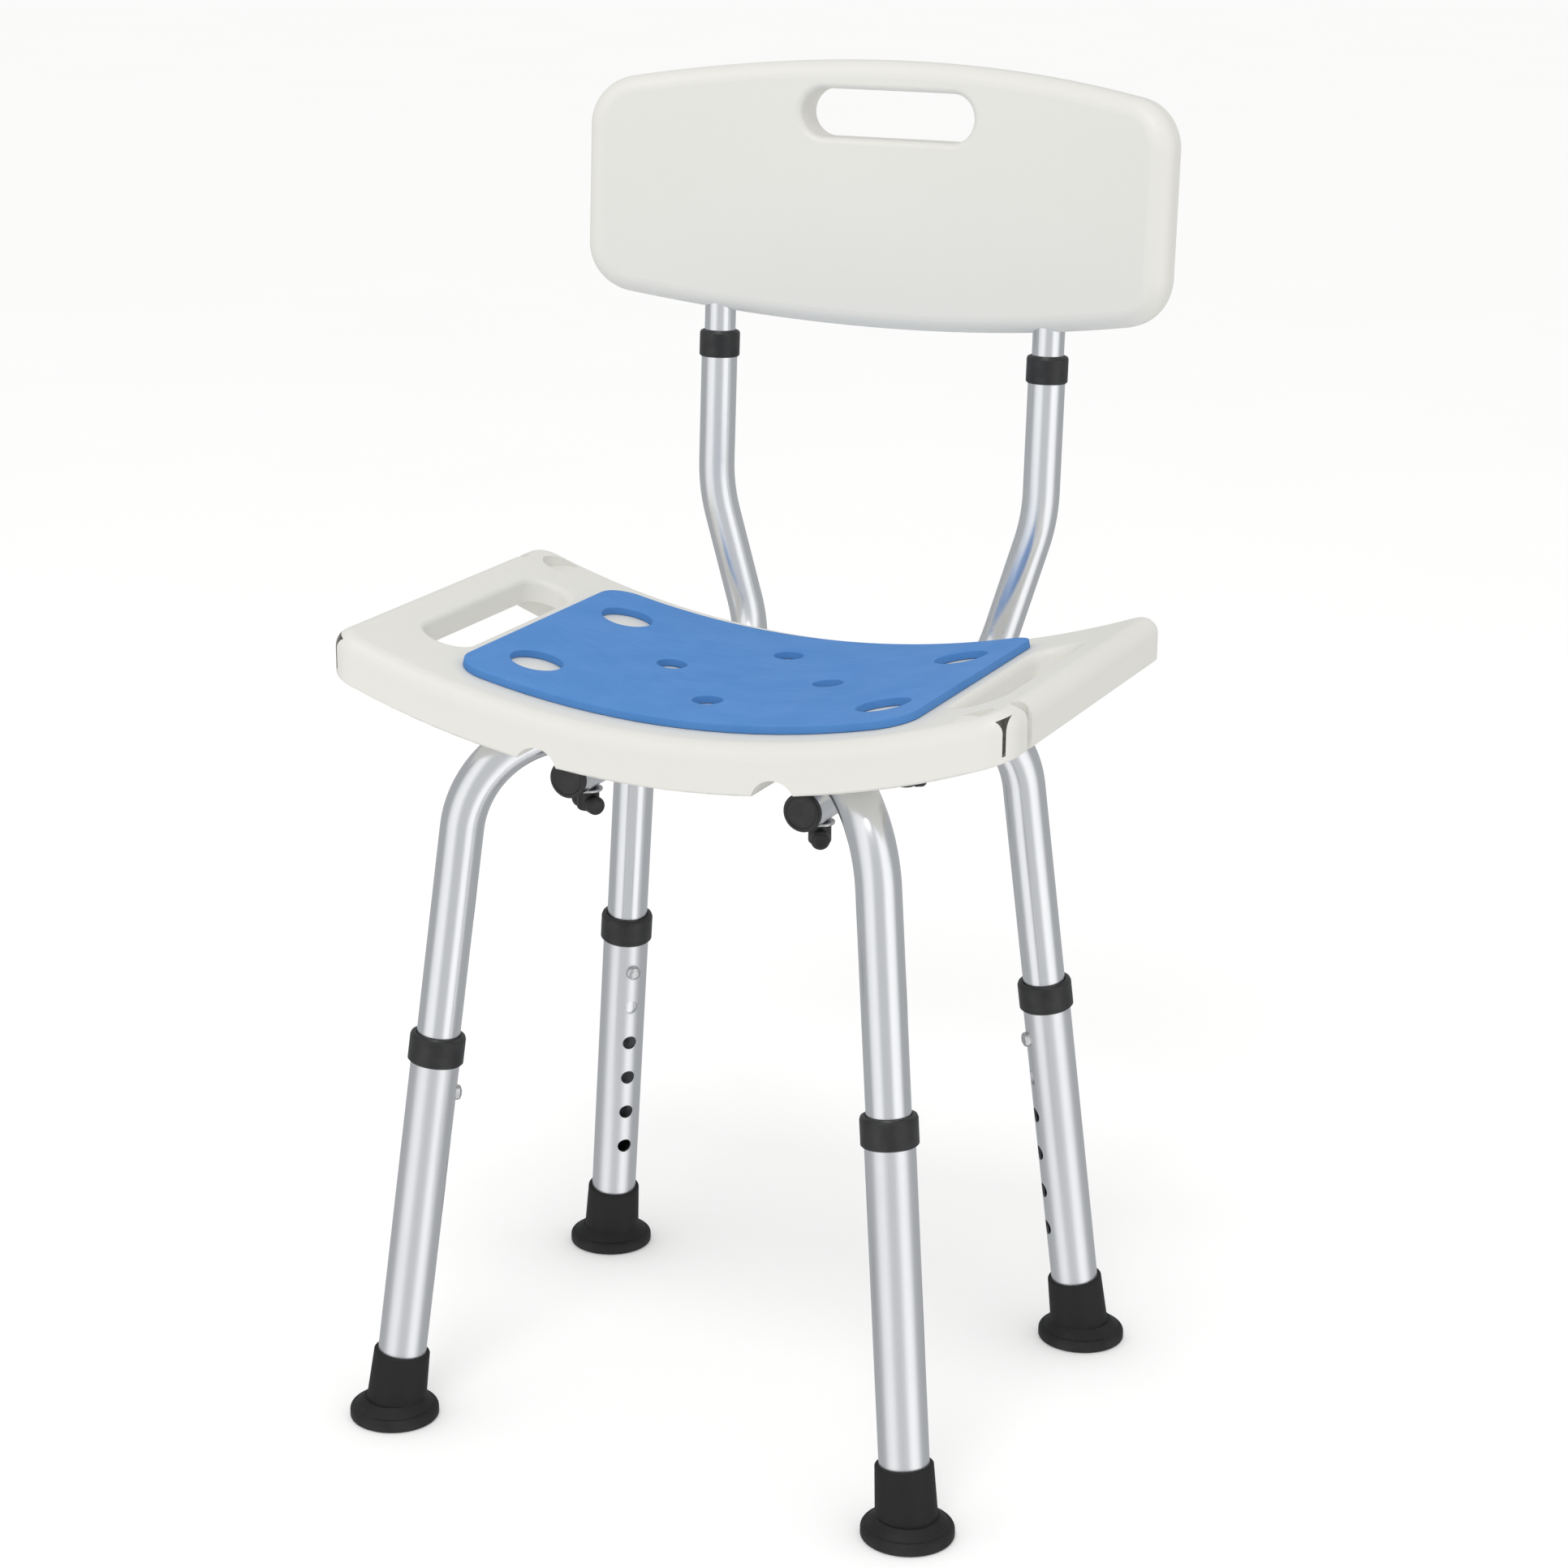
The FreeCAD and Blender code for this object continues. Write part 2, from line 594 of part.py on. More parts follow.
def leg_collar(corner):
    place = leg_place(corner)
    top = size("collar_top")
    outer, inner = size("collar_radius"), size("lower_tube") / 2
    neck = size("upper_tube") / 2 + size("button_gap") * 2
    low = top - size("collar_height")
    lip = top - size("collar_lip")
    outline = [(inner, low), (outer - 1, low), (outer, low + 1), (outer, top - 2.2),
               (outer - 0.6, top - 0.6), (outer - 2.2, top), (neck + 0.4, top), (neck, top - 0.4),
               (neck, lip), (inner, lip)]
    return turned("leg_collar_" + corner, outline, place)


def leg_foot(corner):
    place = leg_place(corner)
    level = Placement(place.Base, Rotation())
    flange = cylinder("flange_" + corner, size("foot_radius"), size("foot_flange"), level)
    is_rim = lambda edge: len(edge.Vertexes) == 1 and abs(edge.Length / 2 / math.pi - num("foot_radius")) < 0.1
    upper = lambda edge: is_rim(edge) and edge.Vertexes[0].Z > 1
    lower = lambda edge: is_rim(edge) and edge.Vertexes[0].Z < 1
    disc = rounded("disc_" + corner, flange, [(upper, 3), (lower, 1.5)])
    raise_up = Placement(place.Base + Vector(0, 0, num("foot_flange")), Rotation())
    skirt = cone("skirt_" + corner, size("foot_radius") - 3, size("sleeve_radius") + 1.5, 5, raise_up)
    start = num("foot_flange") / 2
    sleeve_base = Placement(along(place, start), place.Rotation)
    sleeve = cone("sleeve_" + corner, size("sleeve_radius") + size("sleeve_flare"), size("sleeve_radius"),
                  size("sleeve_height") - start, sleeve_base)
    top_rim = lambda edge: abs(edge.Length / 2 / math.pi - num("sleeve_radius")) < 0.05
    soft = rounded("sleeve_soft_" + corner, sleeve, [(top_rim, 1)])
    socket_base = Placement(along(place, num("lower_start")), place.Rotation)
    socket = cylinder("socket_" + corner, size("lower_tube") / 2, 80, socket_base)
    hollow = cylinder("tread_" + corner, size("foot_radius") - 9, 1.5, level)
    solid = fuse("foot_solid_" + corner, [disc, skirt, soft])
    return cut("leg_foot_" + corner, solid, fuse("foot_openings_" + corner, [socket, hollow]))


# ---- snap buttons and their springs ----------------------------------------------------------

# A button's flange is this much wider than the button, all round.
FLANGE_STEP = 1.2


def snap_button(label, place, radius, shell_radius, bore_radius):
    """A domed button on an inner flange, its axis along the place's Z."""
    tip = shell_radius + size("button_proud")
    back = flange_back(bore_radius.number, radius.number)
    flange = radius + FLANGE_STEP
    outline = [(0, back), (flange, back), (flange, back + 1),
               (radius, back + 1), (radius, tip - 1.8), (radius * 0.86, tip - 0.9),
               (radius * 0.5, tip - 0.2), (0, tip)]
    return turned(label, outline, place)


def leaf_spring(label, place, bore_radius, flange_back):
    """A folded strip: one leaf behind the button, one against the tube's far wall.

    The place's Z is the button's axis and its X points along the tube, away from the fold.
    """
    strip, width = num("spring_strip"), num("spring_width")
    near = flange_back - 0.1
    far = -math.sqrt(bore_radius ** 2 - (width / 2) ** 2) + 0.2
    reach = 5.0
    fold = -26.0
    outer = [Vector(reach, 0, near), Vector(fold, 0, near * 0.45), Vector(fold - 3, 0, 0),
             Vector(fold, 0, far * 0.6), Vector(reach, 0, far)]
    inner = [Vector(reach, 0, far + strip), Vector(fold + 0.3, 0, far * 0.6 + strip),
             Vector(fold - 3 + strip, 0, 0), Vector(fold + 0.3, 0, near * 0.45 - strip),
             Vector(reach, 0, near - strip)]
    face = Part.Face(Part.makePolygon(outer + inner + outer[:1]))
    face.translate(Vector(0, -width / 2, 0))
    return own_shape(label, face.extrude(Vector(0, width, 0)), place)


def flange_back(bore_radius, radius):
    """How far from the tube's axis the back of a button's flange is, the flange touching the bore."""
    return math.sqrt(bore_radius ** 2 - (radius + FLANGE_STEP) ** 2) - 1.4


def leg_button_place(corner):
    place = leg_place(corner)
    return Placement(along(place, num("hole_top")), place.Rotation * TO_LOCAL_X * Rotation(Z_AXIS, 180))


# ---- backrest carrier ------------------------------------------------------------------------

def back_path(side):
    place = post_place(side)
    start = Vector(side * TRACK, -num("back_front"), BACK_LEVEL)
    corners = [start, Vector(side * TRACK, num("back_rear"), BACK_LEVEL), place.Base,
               place.multVec(Vector(0, 0, num("post_top")))]
    return own_shape("back_path%d" % side, bent_wire(corners, [num("back_bend"), num("elbow_bend")]))


def back_button_place(side):
    place = post_place(side)
    turn = place.Rotation * Rotation(X_AXIS, -90) * Rotation(Z_AXIS, 90)
    height = num("post_top") - 38
    return Placement(place.multVec(Vector(0, 0, height)), turn)


def back_hole(label, side):
    place = back_button_place(side)
    start = place.multVec(Vector(0, 0, 4))
    return cylinder(label, size("button_radius") * BACK_BUTTON + size("button_gap"), 20,
                    Placement(start, place.Rotation))


BACK_BUTTON = 0.75


def backrest_tube(name, side):
    path = back_path(side)
    bar = swept("back_bar_" + name, path, size("back_tube") / 2)
    bore = swept("back_bore_" + name, path, size("back_tube") / 2 - size("back_wall"))
    holes = [cylinder("back_stud_%s%d" % (name, way), size("stud_radius") + size("tube_gap"), 60,
                      vertical(Vector(side * TRACK, way * CROSS_Y, 0), BACK_LEVEL - 30))
             for way in (-1, 1)]
    holes.append(back_hole("back_hole_" + name, side))
    tube = cut("back_tube_wall_" + name, bar, bore)
    return cut("backrest_tube_" + name, tube, fuse("back_holes_" + name, holes))


def tube_plug(name, side):
    """An end plug with a raised rim and a stem inside the tube."""
    tip = Vector(side * TRACK, -num("back_front"), BACK_LEVEL)
    place = Placement(tip, Rotation(X_AXIS, 90))
    edge, stem = size("back_tube") / 2, size("back_tube") / 2 - size("back_wall")
    outline = [(0, -11), (stem - 0.4, -11), (stem, -9), (stem, 0), (edge, 0), (edge, 2.6),
               (edge - 1.2, 3.8), (edge - 2, 3.8), (edge - 2.6, 3.2), (0, 3.2)]
    return turned("tube_plug_" + name, outline, place)


def backrest_collar(name, side):
    place = post_place(side)
    top = size("post_top") + 2
    low = top - size("back_collar")
    outer, inner = size("back_tube") / 2 + 1.4, size("back_tube") / 2
    neck = size("back_tube") / 2 - size("back_wall") + size("button_gap")
    lip = size("post_top")
    outline = [(inner, low), (outer - 1, low), (outer, low + 1), (outer, top - 1.9),
               (outer - 0.6, top - 0.6), (outer - 1.9, top), (neck + 0.6, top), (neck, top - 0.6),
               (neck, lip), (inner, lip)]
    return turned("backrest_collar_" + name, outline, place)


def backrest_post(name, side):
    place = post_place(side)
    radius = size("back_tube") / 2 - size("back_wall") - size("button_gap")
    start = size("post_top") - size("post_overlap")
    end = BOARD_LOW + num("post_in_board")
    base = Placement(place.multVec(Vector(0, 0, start.number)), place.Rotation)
    length = end - start.number
    outer = cylinder("post_outer_" + name, radius, length, base)
    bore = cylinder("post_bore_" + name, radius - size("post_wall"), length, base)
    tools = [bore, back_hole("post_button_" + name, side)]
    for index, share in enumerate(SCREW_SHARES):
        across = Placement(screw_seat(side, share), POST_TURN * Rotation(X_AXIS, 90))
        tools.append(cylinder("post_screw_%s%d" % (name, index), size("screw_radius") + size("tube_gap"),
                              60, across))
    return cut("backrest_post_" + name, outer, fuse("post_openings_" + name, tools))


# Board's lower edge where the posts enter it, above the elbow.
BOARD_LOW = num("board_bottom") + num("board_crown") * (2 * num("post_track") / num("board_width")) ** 2
BOARD_TOP = num("board_bottom") + num("board_height")


# Heights of the board's two screws on each post, as shares of the post's length in the board.
SCREW_SHARES = (0.4, 0.8)


def screw_seat(side, share):
    """Where a screw's head sits, sunk in the board's rear face."""
    reach = num("board_curve") + num("board_thick") / 2
    hub = num("board_middle") - num("board_curve")
    surface = hub + math.sqrt(reach ** 2 - num("post_track") ** 2)
    height = BOARD_LOW + share * num("post_in_board")
    return post_place(side).multVec(Vector(0, surface - 3, height))


def board_sector(label, thickness, height_margin):
    """A standing strip of the board's plan curve."""
    hub = Vector(0, num("board_middle") - num("board_curve"), -height_margin)
    height = BOARD_TOP + 2 * height_margin
    outer = cylinder(label + "_outer", size("board_curve") + thickness / 2, height, Placement(hub, Rotation()))
    inner = cylinder(label + "_inner", size("board_curve") - thickness / 2, height, Placement(hub, Rotation()))
    return cut(label, outer, inner)


def board_face(label, inset):
    """The board's front view: crowned top and bottom and round corners, inset all round."""
    half = num("board_width") / 2 - inset
    low, high = num("board_bottom") + inset, BOARD_TOP - inset
    crown = num("board_crown")
    at = lambda x, z: Vector(x, -DEEP / 2, z)
    bottom = Part.Arc(at(-half, low + crown), at(0, low), at(half, low + crown)).toShape()
    top = Part.Arc(at(-half, high - crown), at(0, high), at(half, high - crown)).toShape()
    sides = [Part.LineSegment(at(x, low + crown), at(x, high - crown)).toShape() for x in (half, -half)]
    wire = Part.Wire(Part.__sortEdges__([bottom, sides[0], top, sides[1]]))
    prism = Part.Face(wire).extrude(Vector(0, DEEP, 0))
    corners = [edge for edge in prism.Edges
               if len(edge.Vertexes) == 2 and abs(edge.Vertexes[0].Y - edge.Vertexes[1].Y) > 1]
    return own_shape(label, prism.makeFillet(max(num("board_corner") - inset, 3), corners))


def grip_prism(label):
    length, height = size("grip_length"), size("grip_height")
    centre = Vector(0, -DEEP / 2, BOARD_TOP - num("grip_below"))
    half = (length.number - height.number) / 2
    ends = [cylinder(label + "_end%d" % way, height / 2, DEEP,
                     Placement(centre + Vector(way * half, DEEP, 0), Rotation(X_AXIS, 90)))
            for way in (-1, 1)]
    middle = box(label + "_middle", length - height, DEEP, height,
                 Placement(centre - Vector(half, 0, height.number / 2), Rotation()))
    return fuse(label, ends + [middle])


def board_front_or_back(edge):
    """True when an edge lies on the board's front or rear face."""
    hub = num("board_middle") - num("board_curve")
    faces = [num("board_curve") + way * num("board_thick") / 2 for way in (-1, 1)]
    for part in (0.0, 0.5, 1.0):
        spot = edge.valueAt(edge.FirstParameter + part * (edge.LastParameter - edge.FirstParameter))
        if min(abs(math.hypot(spot.x, spot.y - hub) - face) for face in faces) > 0.05:
            return False
    return True


def near_grip(edge):
    spot = edge.valueAt((edge.FirstParameter + edge.LastParameter) / 2)
    middle = BOARD_TOP - num("grip_below")
    return abs(spot.x) < num("grip_length") / 2 + 1 and abs(spot.z - middle) < num("grip_height") / 2 + 1


def backrest():
    block = common("board_block", board_sector("board_sector", size("board_thick"), 50),
                   board_face("board_face", 0))
    gripped = cut("board_gripped", block, grip_prism("board_grip"))
    rim = lambda edge: board_front_or_back(edge) and near_grip(edge)
    outline = lambda edge: board_front_or_back(edge) and not near_grip(edge)
    soft = rounded("board_soft", gripped, [(rim, num("grip_edge")), (outline, num("board_edge"))])
    soft.Placement = BOARD_PLACE
    tools = [board_hollow()]
    for name, side in SIDES.items():
        place = post_place(side)
        depth = BOARD_LOW + num("post_in_board")
        radius = size("back_tube") / 2 - size("back_wall") - size("button_gap")
        tools.append(cylinder("board_socket_" + name, radius, depth, place))
        for index, share in enumerate(SCREW_SHARES):
            spot = screw_seat(side, share)
            tag = "%s%d" % (name, index)
            inward = Placement(spot, POST_TURN * Rotation(X_AXIS, 90))
            outward = Placement(spot, POST_TURN * Rotation(X_AXIS, -90))
            tools.append(cylinder("board_bore_" + tag, size("screw_radius"), SCREW_LENGTH, inward))
            tools.append(cylinder("board_sink_" + tag, size("screw_head") + 0.3, 30, outward))
    return cut("backrest", soft, fuse("board_tools", tools))


# Length of the board's screws: through the board's rear wall and the post, short of the front wall.
SCREW_LENGTH = num("board_thick") - 7


def board_hollow():
    """Sealed air spaces of the moulded board, clear of the grip, the sockets and the screws."""
    wall = 3.5
    sector = board_sector("hollow_sector", size("board_thick") - wall * 2, 50)
    face = board_face("hollow_face", num("board_edge"))
    inside = common("hollow_inside", sector, face)
    post = num("post_track")
    clear = num("back_tube") / 2 + 5
    grip_bottom = BOARD_TOP - num("grip_below") - num("grip_height") / 2 - num("grip_edge") - wall
    centre_box = middle_box("air_centre", (post - clear) * 2, DEEP, grip_bottom, Vector(0, 0, grip_bottom / 2))
    side_width = DEEP
    side_boxes = [middle_box("air_side%d" % way, side_width, DEEP, DEEP,
                             Vector(way * (post + clear + side_width / 2), 0, 0)) for way in (-1, 1)]
    spaces = common("board_hollow", inside, fuse("air_boxes", [centre_box] + side_boxes))
    spaces.Placement = BOARD_PLACE
    return spaces


# ---- clamping under the seat -----------------------------------------------------------------

# Each knob stops where its stud is tight, so the wings point different ways.
KNOB_TURNS = {"front_right": -35, "front_left": -64, "rear_left": 35, "rear_right": 70}


def clamp_levels():
    washer_top = BACK_LEVEL - BACK_R - 0.1
    knob_top = washer_top - num("washer_thick") - 0.1
    return washer_top, knob_top


def clamp_washer(corner):
    washer_top, _ = clamp_levels()
    inner = size("stud_radius") + size("button_gap") * 2
    outline = [(inner, 0), (size("washer_radius") - 0.3, 0), (size("washer_radius"), 0.3),
               (size("washer_radius"), size("washer_thick") - 0.3),
               (size("washer_radius") - 0.3, size("washer_thick")), (inner, size("washer_thick"))]
    return turned("clamp_washer_" + corner, outline, vertical(CLAMPS[corner], washer_top - num("washer_thick")))


def clamp_stud(corner):
    _, knob_top = clamp_levels()
    low = knob_top - num("knob_height") + 3
    high = seat_height(TRACK) - 3
    return cylinder("clamp_stud_" + corner, size("stud_radius"), high - low, vertical(CLAMPS[corner], low))


def clamp_knob(corner):
    """A hub with two stubby round wings on opposite sides."""
    _, knob_top = clamp_levels()
    spot = CLAMPS[corner]
    hub_low = knob_top - num("knob_height")
    block = cylinder("hub_" + corner, size("knob_radius"), size("knob_height"), vertical(spot, hub_low))
    at_foot = lambda edge: len(edge.Vertexes) == 1 and edge.Vertexes[0].Z < hub_low + 1
    pieces = [rounded("hub_soft_" + corner, block, [(at_foot, 2)])]
    turn = Rotation(Z_AXIS, KNOB_TURNS[corner])
    is_rim = lambda edge: len(edge.Vertexes) == 1
    wing_middle = vertical(spot, hub_low + 0.8 * num("wing_radius"))
    for way in (-1, 1):
        reach = way * (num("wing_reach") - way * num("wing_thick") / 2)
        base = wing_middle.Base + turn.multVec(Vector(reach, 0, 0))
        stub = cylinder("wing%d_%s" % (way, corner), size("wing_radius"), size("wing_thick"),
                        Placement(base, turn * TO_LOCAL_X))
        pieces.append(rounded("wing_soft%d_%s" % (way, corner), stub, [(is_rim, 3)]))
    solid = fuse("knob_solid_" + corner, pieces)
    stud_room = cylinder("knob_bore_" + corner, size("stud_radius"), 30, vertical(spot, hub_low + 3))
    return cut("clamp_knob_" + corner, solid, stud_room)


def threaded_inserts():
    pieces = []
    top = seat_height(TRACK) - 2.2
    low = LEVEL + UPPER_R + 1
    for corner, spot in CLAMPS.items():
        sleeve = cylinder("insert_body_" + corner, size("insert_radius"), top - low, vertical(spot, low))
        bore = cylinder("insert_thread_" + corner, size("stud_radius") + size("button_gap") / 2,
                        top - low, vertical(spot, low))
        pieces.append(cut("insert_" + corner, sleeve, bore))
    return group("threaded_inserts", pieces)


def leg_frame_screws():
    pieces = []
    for index, spot in enumerate(WAIST_SPOTS):
        head_low = LEVEL - UPPER_R - 3
        shank_length = SEAT_TOP - 2.5 - head_low
        shank = cylinder("shank%d" % index, size("screw_radius"), shank_length, vertical(spot, head_low))
        head = cylinder("head%d" % index, size("screw_head"), 2.8, vertical(spot, head_low))
        pieces.append(fuse("frame_screw%d" % index, [shank, head]))
    return group("leg_frame_screws", pieces)


def backrest_screws():
    pieces = []
    for name, side in SIDES.items():
        for index, share in enumerate(SCREW_SHARES):
            spot = screw_seat(side, share)
            shank_place = Placement(spot, POST_TURN * Rotation(X_AXIS, 90))
            head_place = Placement(spot, POST_TURN * Rotation(X_AXIS, -90))
            tag = "%s%d" % (name, index)
            shank = cylinder("board_shank_" + tag, size("screw_radius"), SCREW_LENGTH, shank_place)
            head = cylinder("board_head_" + tag, size("screw_head"), 2.4, head_place)
            pieces.append(fuse("board_screw_" + tag, [shank, head]))
    return group("backrest_screws", pieces)


# ---- assembly --------------------------------------------------------------------------------

def build():
    parts = []
    paths = {side: frame_path(side) for side in SIDES.values()}
    parts += [seat(paths), pad(), threaded_inserts(), leg_frame_screws()]
    parts += [leg_frame(name, side, paths[side]) for name, side in SIDES.items()]

    upper_bore = size("upper_tube") / 2 - size("upper_wall")
    springs = []
    for corner in CORNERS:
        parts += [leg_tube(corner), leg_collar(corner), leg_foot(corner)]
        parts += [clamp_washer(corner), clamp_stud(corner), clamp_knob(corner)]
        place = leg_button_place(corner)
        parts.append(snap_button("leg_button_" + corner, place, size("button_radius"),
                                 size("lower_tube") / 2, upper_bore))
        back = flange_back(upper_bore.number, num("button_radius"))
        springs.append(leaf_spring("leg_spring_" + corner, place, upper_bore.number, back))
    parts.append(group("leg_button_springs", springs))

    post_bore = size("back_tube") / 2 - size("back_wall") - size("button_gap") - size("post_wall")
    springs = []
    for name, side in SIDES.items():
        parts += [backrest_tube(name, side), tube_plug(name, side), backrest_collar(name, side)]
        parts.append(backrest_post(name, side))
        place = back_button_place(side)
        radius = size("button_radius") * BACK_BUTTON
        parts.append(snap_button("backrest_button_" + name, place, radius, size("back_tube") / 2, post_bore))
        back = flange_back(post_bore.number, radius.number)
        springs.append(leaf_spring("backrest_spring_" + name, place, post_bore.number, back))
    parts.append(group("backrest_button_springs", springs))
    parts += [backrest(), backrest_screws()]
    return parts


def middle_chair(parts):
    """Moves every part so that the origin is under the middle of the chair, from feet to backrest."""
    doc.recompute()
    front = -FOOT_Y - num("foot_radius")
    rear = max(part.Shape.optimalBoundingBox(False, False).YMax for part in parts if part.Label == "backrest")
    shift = Placement(Vector(0, -(front + rear) / 2, 0), Rotation())
    for part in parts:
        part.Placement = shift * part.Placement
    print("seat's middle at y = %.3f mm" % shift.Base.y)


def check_and_write(parts):
    middle_chair(parts)
    doc.recompute()
    for thing in doc.Objects:
        if "Invalid" in thing.State or "Error" in thing.State:
            raise RuntimeError("failed: %s %s" % (thing.Label, thing.State))
    for part in parts:
        shape = part.Shape
        if shape.isNull() or not shape.isValid() or not shape.Solids:
            raise RuntimeError("bad shape: " + part.Label)
    os.makedirs("parts", exist_ok=True)
    for part in parts:
        part.Shape.exportStep("parts/%s.step" % part.Label)
        print("%-34s %2d solids %10.0f mm3" % (part.Label, len(part.Shape.Solids), part.Shape.Volume))


check_and_write(build())
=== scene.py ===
# %% [markdown]
# # A shower chair
# This lesson dresses a finished CAD model of a shower chair in Blender. The hard parts, such as the
# moulded seat, the tubes and the rubber feet, arrive with their true shapes. Our work is to give each of
# them the surface of its real material, to make the soft foam pad, and to light the chair plainly.
# Lengths are in metres. +X is the sitter's left, -Y is the front and +Z is up.

# %% Load the chair
import json
import math

import bpy
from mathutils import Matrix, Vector


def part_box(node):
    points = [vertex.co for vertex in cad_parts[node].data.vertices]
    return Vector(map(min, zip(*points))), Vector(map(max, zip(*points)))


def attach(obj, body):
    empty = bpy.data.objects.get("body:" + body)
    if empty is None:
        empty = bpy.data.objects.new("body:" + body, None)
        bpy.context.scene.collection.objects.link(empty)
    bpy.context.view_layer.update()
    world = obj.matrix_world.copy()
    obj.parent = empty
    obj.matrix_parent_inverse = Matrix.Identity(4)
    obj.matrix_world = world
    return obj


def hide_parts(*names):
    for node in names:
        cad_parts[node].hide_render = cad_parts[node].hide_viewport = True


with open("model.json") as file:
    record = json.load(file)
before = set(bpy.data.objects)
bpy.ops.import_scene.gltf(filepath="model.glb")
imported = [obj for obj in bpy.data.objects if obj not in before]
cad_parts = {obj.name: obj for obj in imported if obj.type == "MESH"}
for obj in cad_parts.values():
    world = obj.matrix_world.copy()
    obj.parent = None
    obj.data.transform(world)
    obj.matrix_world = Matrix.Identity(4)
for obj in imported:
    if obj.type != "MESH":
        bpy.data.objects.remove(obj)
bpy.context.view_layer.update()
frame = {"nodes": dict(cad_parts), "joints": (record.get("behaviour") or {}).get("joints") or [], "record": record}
NODES = frame["nodes"]
MM = 0.001
print("chair parts:", len(NODES))

# %% [markdown]
# ## Writing surface patterns as sums
# A real surface is never one flat colour. Moulded plastic has a fine pebbled skin and aluminium has
# lines from drawing. Such patterns are sums of noise, and wiring Math nodes by hand hides the sum. So a
# small class wraps each wire, and `a * 0.5 + b` then adds the Math nodes for us.


# %% A wire that can be added and multiplied
class Wire:
    """One value in a material's node tree."""

    def __init__(self, finish, socket):
        self.finish, self.socket = finish, socket

    def sum_node(self, operation, first, second):
        return self.finish.node("ShaderNodeMath", {"operation": operation}, {0: first, 1: second})

    def __add__(self, other):
        return self.sum_node("ADD", self, other)

    def __sub__(self, other):
        return self.sum_node("SUBTRACT", self, other)

    def __mul__(self, other):
        return self.sum_node("MULTIPLY", self, other)

    def __rsub__(self, other):
        return self.sum_node("SUBTRACT", other, self)

    __radd__ = __add__
    __rmul__ = __mul__


# %% [markdown]
# ## A finish
# Every finish here is one Principled shader with a few patterns around it. The `Finish` class makes the
# shader, adds any other node through one method, and offers the patterns that this chair needs: noise,
# coordinates stretched along a tube, a soft step between two levels, a blend of two colours, and a bump.


# %% The finish class
class Finish:
    """A material built up from wires."""

    def __init__(self, name):
        self.material = bpy.data.materials.new(name)
        self.material.use_nodes = True
        self.tree = self.material.node_tree
        self.tree.nodes.clear()
        self.place = self.node("ShaderNodeTexCoord", output="Object")

    def node(self, kind, settings=None, values=None, output=0):
        made = self.tree.nodes.new(kind)
        for name, setting in (settings or {}).items():
            setattr(made, name, setting)
        for name, value in (values or {}).items():
            if isinstance(value, Wire):
                self.tree.links.new(value.socket, made.inputs[name])
            else:
                made.inputs[name].default_value = value
        return Wire(self, made.outputs[output])

    def noise(self, size, detail=2.0, place=None, roughness=0.5):
        """Noise from 0 to 1 whose blotches are about `size` metres across."""
        values = {"Vector": place or self.place, "Scale": 1 / size, "Detail": detail, "Roughness": roughness}
        return self.node("ShaderNodeTexNoise", {"noise_dimensions": "3D"}, values)

    def stretched(self, factors, turn=(0, 0, 0)):
        """The object's coordinates turned, then stretched."""
        turned = self.node("ShaderNodeMapping", {"vector_type": "POINT"},
                           {"Vector": self.place, "Rotation": turn})
        return self.node("ShaderNodeVectorMath", {"operation": "MULTIPLY"}, {0: turned, 1: factors})

    def step(self, value, low, high):
        """0 below low, 1 above high, smooth between."""
        settings = {"interpolation_type": "SMOOTHSTEP"}
        return self.node("ShaderNodeMapRange", settings, {"Value": value, "From Min": low, "From Max": high})

    def blend(self, share, first, second):
        """A colour between two colours."""
        settings = {"data_type": "RGBA", "clamp_factor": True}
        made = self.node("ShaderNodeMix", settings, {"Factor": share}, output=2)
        mix = made.socket.node
        for socket, shade in ((mix.inputs[6], first), (mix.inputs[7], second)):
            if isinstance(shade, Wire):
                self.tree.links.new(shade.socket, socket)
            else:
                socket.default_value = (*shade, 1)
        return made

    def bump(self, height, depth):
        """A normal from a height between 0 and 1 that stands for `depth` metres."""
        return self.node("ShaderNodeBump", None, {"Height": height, "Strength": 1.0, "Distance": depth})

    def shade(self, **values):
        """The surface itself; underscores in the names stand for spaces."""
        named = {name.replace("_", " "): value for name, value in values.items()}
        surface = self.node("ShaderNodeBsdfPrincipled", None, named)
        self.node_output(surface)
        return self.material

    def node_output(self, surface):
        out = self.tree.nodes.new("ShaderNodeOutputMaterial")
        self.tree.links.new(surface.socket, out.inputs["Surface"])


# %% [markdown]
# ## Moulded off-white plastic
# The seat and the backrest are moulded polyethylene. Its skin is satin: a fine pebble of about a
# millimetre from the tool, over slow waves a few centimetres across where the wall has cooled unevenly.
# The colour is a warm white that drifts very slightly. A bump is enough for the pebble, because it is
# far too fine to model.

# %% Plastic finish
PLASTIC_LIGHT = (0.757, 0.749, 0.709)
PLASTIC_SHADE = (0.728, 0.720, 0.676)


def moulded_plastic():
    skin = Finish("moulded_plastic")
    pebble = skin.noise(1.1 * MM, 3)
    wave = skin.noise(34 * MM, 1)
    drift = skin.noise(90 * MM, 2)
    height = pebble * 0.8 + wave * 4.0
    colour = skin.blend(drift * 0.7 + pebble * 0.3, PLASTIC_LIGHT, PLASTIC_SHADE)
    return skin.shade(Base_Color=colour, Roughness=0.36 + pebble * 0.14, Normal=skin.bump(height, 0.03 * MM))


plastic = moulded_plastic()
print("finish:", plastic.name)

# %% [markdown]
# ## Satin aluminium tube
# The tubes are drawn, so faint lines run along them, and anodised, which blurs every reflection into a
# soft band. The lines must follow each tube. A tube's lean is known, so its pattern is turned upright
# first and then squeezed along the tube's length: noise stretched that way becomes long streaks.

